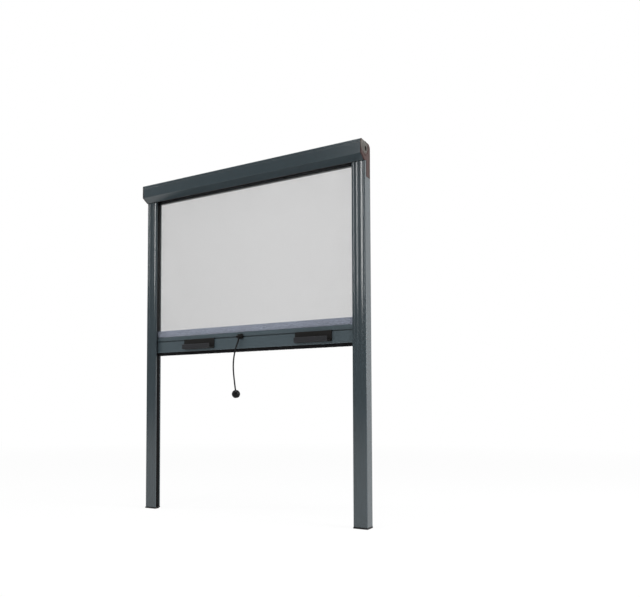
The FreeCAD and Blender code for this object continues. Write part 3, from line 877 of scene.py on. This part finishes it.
low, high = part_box("mesh_hem")
hem_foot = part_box("pull_bar")[1].z
hem_middle = Vector(((low.x + high.x) / 2, (low.y + high.y) / 2, (high.z + hem_foot) / 2))
hem_values = {
    "Length": high.x - low.x,
    "Height": high.z - hem_foot,
    "Thickness": high.y - low.y,
    "Material": hem_material,
}
hem = grown("hem_tape", hem_tree, hem_values)
hem.data.transform(Matrix.Translation(hem_middle))
seat(hem, "bar", "woven_hem", "mesh_hem")
rod_material = moulded("soft plastic", rod_black, roughness=0.5, grain=0.5 * MM, relief=0.01 * MM)
paint(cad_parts["hem_spline"], rod_material)

# Pull bar. An extruded bar in the same coat, with a clip slot along its front, a round
# slot on top for the hem's rod and one below for the brush.
bar_anthracite = (0.057, 0.078, 0.089, 1)
bar_edge = 0.15 * MM
bar_coat = coat("anthracite coat of the bar", bar_anthracite, drawn_along_x)
soften("pull_bar", "bar_body", "bar", "anthracite_aluminium", bar_edge, bar_coat)

# Bar brush. The strip of pile under the bar that closes the gap at the sill. It is slid
# into the bar's lower slot from the end.
brush("bar_pile", "bar_brush", "bar", along=(1, 0, 0), out=(0, 0, -1), seed=41)

# Bar slides. Black moulded end pieces, pushed into the bar's ends, with a shoe that runs
# in the rail.
slide_edge = 0.4 * MM
for side in ("left", "right"):
    soften(side + "_bar_slide", side + "_slide", "bar", "black_plastic", slide_edge, black_moulded)

# Handles. Two moulded finger grips, clipped into the bar's front slot: a plate on the bar
# and an upturned lip in front of it, whose face is painted a little lighter, as painted light.
grip_black = (0.006, 0.0056, 0.0052, 1)
lip_painted_light = (0.021, 0.022, 0.0245, 1)
lip_depth = 1.2 * MM
handle_edge = 0.35 * MM
handle_material = moulded(
    "grained black plastic",
    grip_black,
    roughness=0.36,
    grain=0.5 * MM,
    relief=0.04 * MM,
    gloss=0.18,
)
tree = handle_material.node_tree
depth = place_on_piece(tree)["Y"]
lip_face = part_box("left_handle")[0].y
# Painted light: the lip's front face is made lighter, where light falls on it.
lit_lip_face = ramp(tree, depth, lip_face + lip_depth / 2, lip_face + lip_depth, 1.0, 0.0)
tint(handle_material, lit_lip_face, lip_painted_light)
for side in ("left", "right"):
    soften(side + "_handle", side + "_grip", "bar", "black_plastic", handle_edge, handle_material)

# Cord clip. A small black moulding in the same slot, with two horns and an eye between
# them that holds the cord's knot.
clip_edge = 0.25 * MM
soften("cord_hook", "cord_clip", "bar", "black_plastic", clip_edge, handle_material)

# Pull cord. A round black braid of polyester, which hangs from the clip's eye and swings
# out a little to the left before the ball pulls it straight.
cord_points = [
    (-17.0, -0.3, 366.5),
    (-18.0, -2.6, 355.5),
    (-21.5, -6.5, 341.5),
    (-25.5, -8.2, 322.0),
    (-27.0, -8.2, 302.0),
    (-25.2, -7.6, 278.5),
    (-22.0, -7.0, 255.2),
]
cord_diameter = 3.0 * MM
cord_steps = 16
braid_black = (0.006, 0.006, 0.0065, 1)
braid_grey = (0.016, 0.016, 0.017, 1)
braid_carriers = 16
braid_lay = 13.0 * MM
braid_relief = 0.22 * MM
braid_step = 0.3 * MM
braid_sides = 48
pillow_middle = 0.6  # where a strand's face meets the cord's radius, between its edge and crown

cord_curve = bpy.data.curves.new("pull_cord_line", "CURVE")
cord_curve.dimensions = "3D"
line = cord_curve.splines.new("NURBS")
line.points.add(len(cord_points) - 1)
for point, place in zip(line.points, cord_points):
    point.co = (*(MM * value for value in place), 1)
line.order_u = 3
line.use_endpoint_u = True
line.resolution_u = cord_steps
route = bpy.data.objects.new("pull_cord_route", cord_curve)
route_mesh = bpy.data.meshes.new_from_object(route)
cord_path = [point.co.copy() for point in route_mesh.vertices]

braid_tree, given, result = new_group(
    "braided cord",
    {
        "Route": "NodeSocketGeometry",
        "Radius": cord_diameter / 2,
        "Carriers": braid_carriers,
        "Lay": braid_lay,
        "Relief": braid_relief,
        "Step": braid_step,
        "Material": "NodeSocketMaterial",
    },
    {"Cord": "NodeSocketGeometry"},
    "GeometryNodeTree",
)


def noted(tree, shape, name, value):
    """The shape, with this value kept on its points under this name."""
    inputs = {"Geometry": shape, "Name": name, "Value": value}
    settings = {"data_type": "FLOAT", "domain": "POINT"}
    return add(tree, "GeometryNodeStoreNamedAttribute", inputs, **settings).outputs[0]


def note(tree, name):
    """The value that is kept under this name."""
    return add(tree, "GeometryNodeInputNamedAttribute", {"Name": name}, data_type="FLOAT").outputs[0]


tree = braid_tree
way = add(tree, "GeometryNodeMeshToCurve", {"Mesh": given["Route"]}).outputs[0]
steps = {"Curve": way, "Length": given["Step"]}
even = add(tree, "GeometryNodeResampleCurve", steps, mode="LENGTH").outputs[0]
travelled = add(tree, "GeometryNodeSplineParameter").outputs["Length"]
even = noted(tree, even, "along", travelled)
circle = {"Resolution": braid_sides, "Radius": given["Radius"]}
ring = add(tree, "GeometryNodeCurvePrimitiveCircle", circle).outputs[0]
turned = add(tree, "GeometryNodeSplineParameter").outputs["Factor"]
ring = noted(tree, ring, "around", turned)
swept = {"Curve": even, "Profile Curve": ring, "Fill Caps": True}
tube = add(tree, "GeometryNodeCurveToMesh", swept).outputs[0]
one_way = maths(tree, "DIVIDE", given["Carriers"], 2)
lays = maths(tree, "DIVIDE", note(tree, "along"), given["Lay"])
forward = maths(tree, "MULTIPLY", one_way, lays)
sideways = maths(tree, "MULTIPLY", one_way, note(tree, "around"))
right_hand = wave(tree, maths(tree, "ADD", sideways, forward))
left_hand = wave(tree, maths(tree, "SUBTRACT", sideways, forward))
pillow = maths(tree, "ABSOLUTE", maths(tree, "MULTIPLY", right_hand, left_hand))
rise = maths(tree, "MULTIPLY", maths(tree, "SUBTRACT", pillow, pillow_middle), given["Relief"])
outwards = add(tree, "GeometryNodeInputNormal").outputs[0]
raised = {"Geometry": tube, "Offset": scaled(tree, outwards, rise)}
braided = add(tree, "GeometryNodeSetPosition", raised).outputs[0]
smooth = add(tree, "GeometryNodeSetShadeSmooth", {"Geometry": braided}).outputs[0]
joined_and_painted(tree, [smooth], given["Material"], result["Cord"])

braid_group, given, result = new_finish("braid", {"Colour": braid_black, "Light": braid_grey})
strands = noise(braid_group, 1600.0, stretch=(1, 1, 0.25))
put_out(
    braid_group,
    result,
    colour=blended(braid_group, strands, given["Colour"], given["Light"]),
    roughness=layered(braid_group, 0.5, (strands, 0.2)),
    height=strands,
)
braid_colours = {"Colour": braid_black, "Light": braid_grey}
braid_material = finished_material(
    "black braid", braid_group, braid_colours, relief=0.06 * MM, gloss=0.1
)
cord = grown("braided_cord", braid_tree, {"Material": braid_material}, route_mesh)
bpy.data.objects.remove(route)
seat(cord, "bar", "braided_cord", "pull_cord")

# Ball. A black moulded ball on the cord's end. The cord goes in at its top and is knotted
# in the countersink under it, and a fine parting line runs round its middle.
ball_black = (0.0035, 0.0035, 0.004, 1)
ball_low, ball_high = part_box("cord_ball")
ball_middle = (ball_low + ball_high) / 2
ball_radius = (ball_high.z - ball_low.z) / 2
ball_axis = (cord_path[-1] - ball_middle).normalized()
ball_steps = 40
ball_segments = 64
bore_radius = cord_diameter / 2 + 0.05 * MM
rim_radius = 0.35 * MM
sink_radius = 3.4 * MM
sink_depth = 3.6 * MM
sink_taper = 0.72  # the radius of its floor, as a share of the radius at its mouth
seam_width = 0.22 * MM
seam_depth = 0.09 * MM
knot_points = 72
knot_radius = 1.25 * MM
knot_reach = 0.62 * MM
knot_cord_radius = 0.72 * MM
knot_cord_rounding = 5
knot_drop = 1.5 * MM


def revolved(name, outline, segments):
    """A closed outline of (radius, height) points, turned about the Z axis."""
    shape = bmesh.new()
    points = [shape.verts.new((radius, 0, height)) for radius, height in outline]
    edges = [shape.edges.new((a, b)) for a, b in zip(points, points[1:] + points[:1])]
    bmesh.ops.spin(
        shape,
        geom=points + edges,
        cent=(0, 0, 0),
        axis=(0, 0, 1),
        angle=math.tau,
        steps=segments,
        use_merge=True,
    )
    bmesh.ops.recalc_face_normals(shape, faces=shape.faces)
    for face in shape.faces:
        face.smooth = True
    mesh = bpy.data.meshes.new(name)
    shape.to_mesh(mesh)
    shape.free()
    mesh.set_sharp_from_angle(angle=edge_angle)
    return shown_object(name, mesh)


def point_along(thing, origin, way):
    """Turns the mesh of a thing so that its Z axis lies along way, and moves it to origin."""
    turn = Vector((0, 0, 1)).rotation_difference(way).to_matrix().to_4x4()
    thing.data.transform(Matrix.Translation(origin) @ turn)


top_turn = math.asin((bore_radius + rim_radius) / ball_radius)
low_turn = math.pi - math.asin(sink_radius / ball_radius)
outline = []
for step in range(ball_steps + 1):
    turn = top_turn + (low_turn - top_turn) * step / ball_steps
    outline.append((ball_radius * math.sin(turn), ball_radius * math.cos(turn)))
seam = min(range(len(outline)), key=lambda place: abs(outline[place][1]))
outline[seam:seam + 1] = [
    (ball_radius, seam_width / 2),
    (ball_radius - seam_depth, 0.0),
    (ball_radius, -seam_width / 2),
]
sink_floor = outline[-1][1] + sink_depth
outline += [
    (sink_radius - rim_radius, outline[-1][1] + rim_radius),
    (sink_radius * sink_taper, sink_floor),
    (bore_radius, sink_floor),
    (bore_radius, outline[0][1] - rim_radius),
]
ball = revolved("ball", outline, ball_segments)
point_along(ball, ball_middle, ball_axis)
ball_material = moulded(
    "glossy black plastic",
    ball_black,
    roughness=0.2,
    grain=0.6 * MM,
    relief=0.006 * MM,
    gloss=0.14,
)
paint(ball, ball_material)
seat(ball, "bar", "ball_plastic", "cord_ball")

# The knot is a trefoil: its line goes round twice while it weaves in and out three times.
knot_curve = bpy.data.curves.new("cord_knot", "CURVE")
knot_curve.dimensions = "3D"
knot_curve.bevel_depth = knot_cord_radius
knot_curve.bevel_resolution = knot_cord_rounding
line = knot_curve.splines.new("NURBS")
line.points.add(knot_points - 1)
for step, point in enumerate(line.points):
    turn = math.tau * step / knot_points
    reach = knot_radius + knot_reach * math.cos(3 * turn)
    place = (reach * math.cos(2 * turn), reach * math.sin(2 * turn), knot_reach * math.sin(3 * turn))
    point.co = (*place, 1)
line.order_u = 3
line.use_cyclic_u = True
knot_line = bpy.data.objects.new("cord_knot_line", knot_curve)
knot = shown_object("cord_knot", bpy.data.meshes.new_from_object(knot_line))
bpy.data.objects.remove(knot_line)
point_along(knot, ball_middle + ball_axis * (sink_floor - knot_drop), ball_axis)
paint(knot, braid_material)
seat(knot, "bar", "braided_cord")

low, high = cad_box
